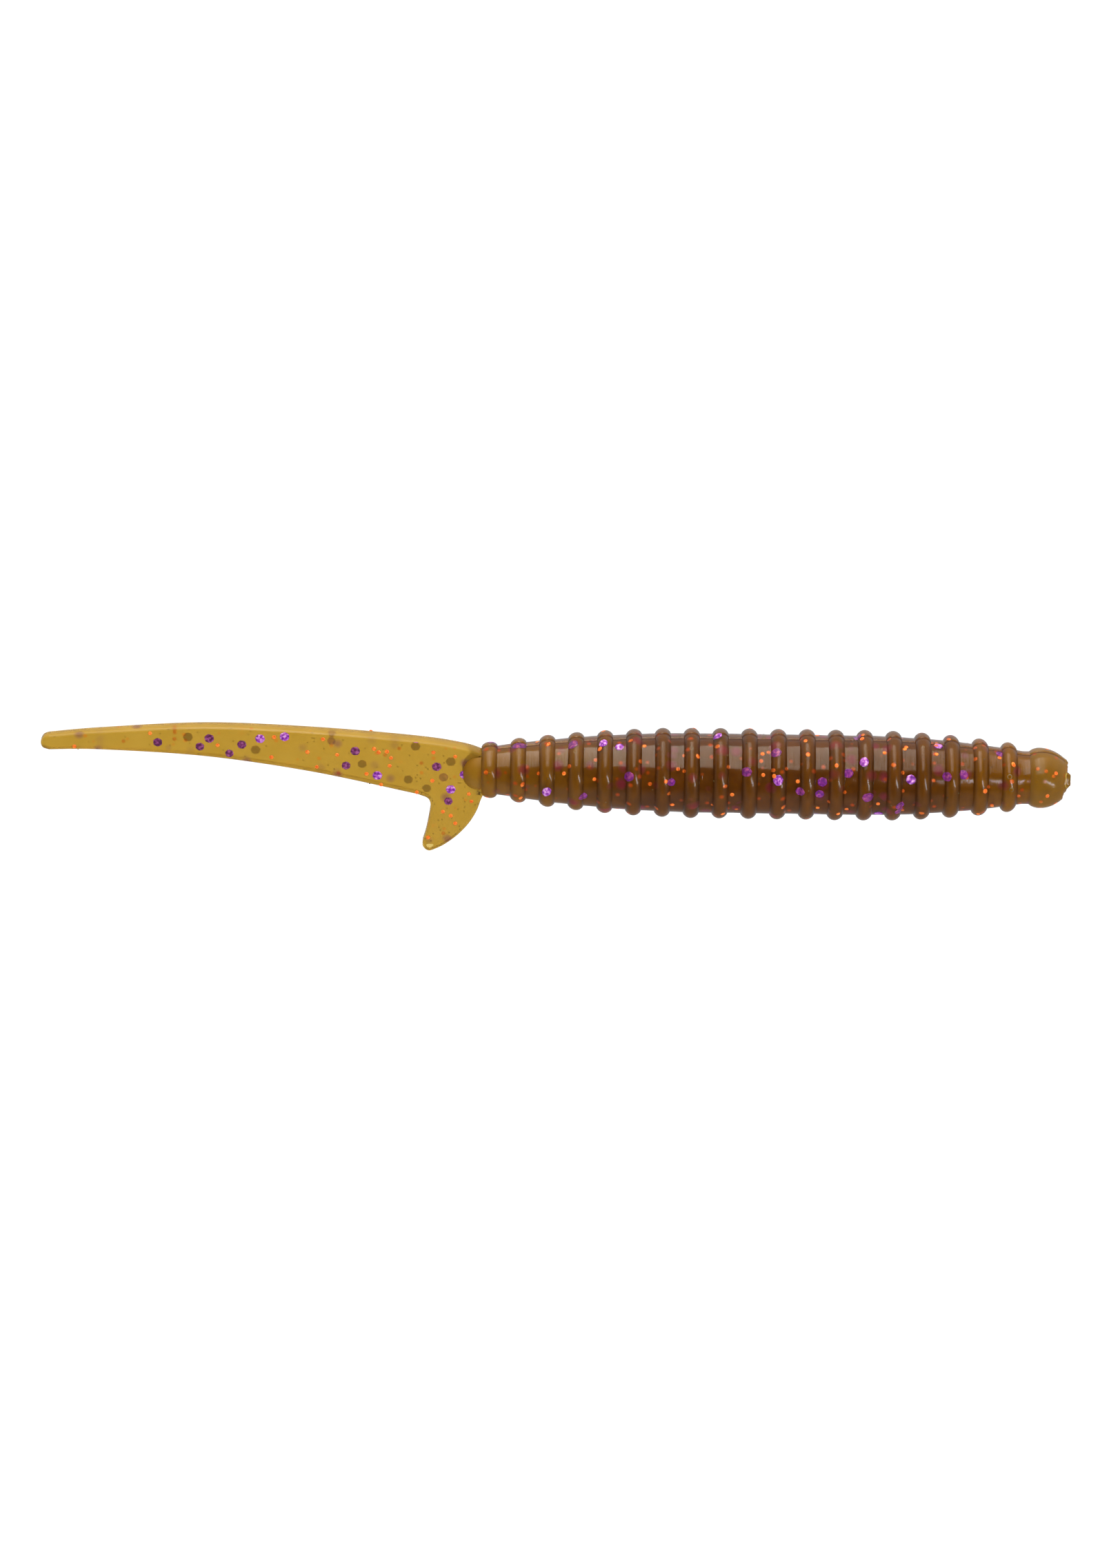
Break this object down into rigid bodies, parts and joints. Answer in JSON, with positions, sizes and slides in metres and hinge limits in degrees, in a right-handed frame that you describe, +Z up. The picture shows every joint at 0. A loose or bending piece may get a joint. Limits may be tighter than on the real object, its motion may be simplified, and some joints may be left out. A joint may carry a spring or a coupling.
{
  "type": "soft plastic worm",
  "caption": "Ribbed soft plastic fishing worm with a blunt nose, a flat flexible pintail and a keel fin, in translucent brown with purple and copper glitter.",
  "frame": {"origin": "on the surface that the worm lies on, below the middle of the whole worm", "axes": "+X along the body towards the nose; +Y across the worm towards its back; +Z up, away from the surface. The worm lies on its side, resting on its middle ribs and the tip of its keel fin."},
  "size_m": [0.1016, 0.0126, 0.0089],
  "materials": {
    "body_plastic": "glossy translucent soft plastic, brown with an olive cast",
    "nose_plastic": "glossy translucent soft plastic, light brown",
    "tail_plastic": "glossy translucent soft plastic, amber",
    "purple_glitter": "metallic purple foil flakes, cast into the plastic",
    "copper_glitter": "metallic copper foil flakes, cast into the plastic"
  },
  "bodies": {
    "nose": {"nose": "nose_plastic"},
    "ring_01": {"ring_01": "body_plastic"},
    "ring_02": {"ring_02": "body_plastic"},
    "ring_03": {"ring_03": "body_plastic"},
    "ring_04": {"ring_04": "body_plastic"},
    "ring_05": {"ring_05": "body_plastic"},
    "ring_06": {"ring_06": "body_plastic"},
    "ring_07": {"ring_07": "body_plastic"},
    "ring_08": {"ring_08": "body_plastic"},
    "ring_09": {"ring_09": "body_plastic"},
    "ring_10": {"ring_10": "body_plastic"},
    "ring_11": {"ring_11": "body_plastic"},
    "ring_12": {"ring_12": "body_plastic"},
    "ring_13": {"ring_13": "body_plastic"},
    "ring_14": {"ring_14": "body_plastic"},
    "ring_15": {"ring_15": "body_plastic"},
    "ring_16": {"ring_16": "body_plastic"},
    "ring_17": {"ring_17": "body_plastic"},
    "ring_18": {"ring_18": "body_plastic"},
    "tail_root": {"ring_19": "body_plastic", "tail_root": "tail_plastic"},
    "tail_blade_1": {"tail_blade_1": "tail_plastic"},
    "tail_blade_2": {"tail_blade_2": "tail_plastic"},
    "tail_blade_3": {"tail_blade_3": "tail_plastic"},
    "tail_blade_4": {"tail_blade_4": "tail_plastic"},
    "tail_blade_5": {"tail_blade_5": "tail_plastic"},
    "tail_blade_6": {"tail_blade_6": "tail_plastic"},
    "keel_fin": {"keel_fin": "tail_plastic"}
  },
  "joints": [
    {"name": "body_bend", "type": "hinge", "parent": "nose", "child": "ring_01", "pos_m": [0.04619, 0.00179, 0.00447], "axis": [0, 0, 1], "range_deg": [-9.5, 9.5], "stiffness_Nm_per_rad": 0.03},
    {"name": "body_bend_02", "type": "hinge", "parent": "ring_01", "child": "ring_02", "pos_m": [0.04335, 0.00179, 0.00447], "axis": [0, 0, 1], "range_deg": [-9.5, 9.5], "stiffness_Nm_per_rad": 0.03},
    {"name": "body_bend_03", "type": "hinge", "parent": "ring_02", "child": "ring_03", "pos_m": [0.0405, 0.00179, 0.00447], "axis": [0, 0, 1], "range_deg": [-9.5, 9.5], "stiffness_Nm_per_rad": 0.03},
    {"name": "body_bend_04", "type": "hinge", "parent": "ring_03", "child": "ring_04", "pos_m": [0.03764, 0.00179, 0.00447], "axis": [0, 0, 1], "range_deg": [-9.5, 9.5], "stiffness_Nm_per_rad": 0.03},
    {"name": "body_bend_05", "type": "hinge", "parent": "ring_04", "child": "ring_05", "pos_m": [0.03479, 0.00179, 0.00447], "axis": [0, 0, 1], "range_deg": [-9.5, 9.5], "stiffness_Nm_per_rad": 0.03},
    {"name": "body_bend_06", "type": "hinge", "parent": "ring_05", "child": "ring_06", "pos_m": [0.03195, 0.00179, 0.00447], "axis": [0, 0, 1], "range_deg": [-9.5, 9.5], "stiffness_Nm_per_rad": 0.03},
    {"name": "body_bend_07", "type": "hinge", "parent": "ring_06", "child": "ring_07", "pos_m": [0.02909, 0.00179, 0.00447], "axis": [0, 0, 1], "range_deg": [-9.5, 9.5], "stiffness_Nm_per_rad": 0.03},
    {"name": "body_bend_08", "type": "hinge", "parent": "ring_07", "child": "ring_08", "pos_m": [0.02625, 0.00179, 0.00447], "axis": [0, 0, 1], "range_deg": [-9.5, 9.5], "stiffness_Nm_per_rad": 0.03},
    {"name": "body_bend_09", "type": "hinge", "parent": "ring_08", "child": "ring_09", "pos_m": [0.02339, 0.00179, 0.00447], "axis": [0, 0, 1], "range_deg": [-9.5, 9.5], "stiffness_Nm_per_rad": 0.03},
    {"name": "body_bend_10", "type": "hinge", "parent": "ring_09", "child": "ring_10", "pos_m": [0.02055, 0.00179, 0.00447], "axis": [0, 0, 1], "range_deg": [-9.5, 9.5], "stiffness_Nm_per_rad": 0.03},
    {"name": "body_bend_11", "type": "hinge", "parent": "ring_10", "child": "ring_11", "pos_m": [0.01769, 0.00179, 0.00447], "axis": [0, 0, 1], "range_deg": [-9.5, 9.5], "stiffness_Nm_per_rad": 0.03},
    {"name": "body_bend_12", "type": "hinge", "parent": "ring_11", "child": "ring_12", "pos_m": [0.01485, 0.00179, 0.00447], "axis": [0, 0, 1], "range_deg": [-9.5, 9.5], "stiffness_Nm_per_rad": 0.03},
    {"name": "body_bend_13", "type": "hinge", "parent": "ring_12", "child": "ring_13", "pos_m": [0.012, 0.00179, 0.00447], "axis": [0, 0, 1], "range_deg": [-9.5, 9.5], "stiffness_Nm_per_rad": 0.03},
    {"name": "body_bend_14", "type": "hinge", "parent": "ring_13", "child": "ring_14", "pos_m": [0.00915, 0.00179, 0.00447], "axis": [0, 0, 1], "range_deg": [-9.5, 9.5], "stiffness_Nm_per_rad": 0.03},
    {"name": "body_bend_15", "type": "hinge", "parent": "ring_14", "child": "ring_15", "pos_m": [0.0063, 0.00179, 0.00447], "axis": [0, 0, 1], "range_deg": [-9.5, 9.5], "stiffness_Nm_per_rad": 0.03},
    {"name": "body_bend_16", "type": "hinge", "parent": "ring_15", "child": "ring_16", "pos_m": [0.00345, 0.00179, 0.00447], "axis": [0, 0, 1], "range_deg": [-9.5, 9.5], "stiffness_Nm_per_rad": 0.03},
    {"name": "body_bend_17", "type": "hinge", "parent": "ring_16", "child": "ring_17", "pos_m": [0.0006, 0.00179, 0.00447], "axis": [0, 0, 1], "range_deg": [-9.5, 9.5], "stiffness_Nm_per_rad": 0.03},
    {"name": "body_bend_18", "type": "hinge", "parent": "ring_17", "child": "ring_18", "pos_m": [-0.00226, 0.00179, 0.00447], "axis": [0, 0, 1], "range_deg": [-9.5, 9.5], "stiffness_Nm_per_rad": 0.03},
    {"name": "body_bend_19", "type": "hinge", "parent": "ring_18", "child": "tail_root", "pos_m": [-0.00511, 0.00179, 0.00447], "axis": [0, 0, 1], "range_deg": [-9.5, 9.5], "stiffness_Nm_per_rad": 0.03},
    {"name": "tail_wag", "type": "hinge", "parent": "tail_root", "child": "tail_blade_1", "pos_m": [-0.01486, 0.00241, 0.00479], "axis": [0, 0.8897, 0.4565], "range_deg": [-14, 14], "stiffness_Nm_per_rad": 0.001},
    {"name": "tail_wag_2", "type": "hinge", "parent": "tail_blade_1", "child": "tail_blade_2", "pos_m": [-0.02088, 0.00321, 0.00521], "axis": [0, 0.8897, 0.4565], "range_deg": [-14, 14], "stiffness_Nm_per_rad": 0.0007},
    {"name": "tail_wag_3", "type": "hinge", "parent": "tail_blade_2", "child": "tail_blade_3", "pos_m": [-0.02689, 0.00392, 0.00557], "axis": [0, 0.8897, 0.4565], "range_deg": [-14, 14], "stiffness_Nm_per_rad": 0.0005},
    {"name": "tail_wag_4", "type": "hinge", "parent": "tail_blade_3", "child": "tail_blade_4", "pos_m": [-0.03291, 0.00432, 0.00577], "axis": [0, 0.8897, 0.4565], "range_deg": [-14, 14], "stiffness_Nm_per_rad": 0.00035},
    {"name": "tail_wag_5", "type": "hinge", "parent": "tail_blade_4", "child": "tail_blade_5", "pos_m": [-0.03892, 0.00437, 0.0058], "axis": [0, 0.8897, 0.4565], "range_deg": [-14, 14], "stiffness_Nm_per_rad": 0.00025},
    {"name": "tail_wag_6", "type": "hinge", "parent": "tail_blade_5", "child": "tail_blade_6", "pos_m": [-0.04494, 0.00428, 0.00575], "axis": [0, 0.8897, 0.4565], "range_deg": [-14, 14], "stiffness_Nm_per_rad": 0.00015},
    {"name": "fin_flex", "type": "hinge", "parent": "tail_root", "child": "keel_fin", "pos_m": [-0.01, -0.00093, 0.00308], "axis": [-1, 0, 0], "range_deg": [-25, 25], "stiffness_Nm_per_rad": 0.0005}
  ],
  "couplings": [
    {"joint": "body_bend_02", "follows": "body_bend", "ratio": 1},
    {"joint": "body_bend_03", "follows": "body_bend", "ratio": 1},
    {"joint": "body_bend_04", "follows": "body_bend", "ratio": 1},
    {"joint": "body_bend_05", "follows": "body_bend", "ratio": 1},
    {"joint": "body_bend_06", "follows": "body_bend", "ratio": 1},
    {"joint": "body_bend_07", "follows": "body_bend", "ratio": 1},
    {"joint": "body_bend_08", "follows": "body_bend", "ratio": 1},
    {"joint": "body_bend_09", "follows": "body_bend", "ratio": 1},
    {"joint": "body_bend_10", "follows": "body_bend", "ratio": 1},
    {"joint": "body_bend_11", "follows": "body_bend", "ratio": 1},
    {"joint": "body_bend_12", "follows": "body_bend", "ratio": 1},
    {"joint": "body_bend_13", "follows": "body_bend", "ratio": 1},
    {"joint": "body_bend_14", "follows": "body_bend", "ratio": 1},
    {"joint": "body_bend_15", "follows": "body_bend", "ratio": 1},
    {"joint": "body_bend_16", "follows": "body_bend", "ratio": 1},
    {"joint": "body_bend_17", "follows": "body_bend", "ratio": 1},
    {"joint": "body_bend_18", "follows": "body_bend", "ratio": 1},
    {"joint": "body_bend_19", "follows": "body_bend", "ratio": 1},
    {"joint": "tail_wag_2", "follows": "tail_wag", "ratio": 1},
    {"joint": "tail_wag_3", "follows": "tail_wag", "ratio": 1},
    {"joint": "tail_wag_4", "follows": "tail_wag", "ratio": 1},
    {"joint": "tail_wag_5", "follows": "tail_wag", "ratio": 1},
    {"joint": "tail_wag_6", "follows": "tail_wag", "ratio": 1}
  ]
}
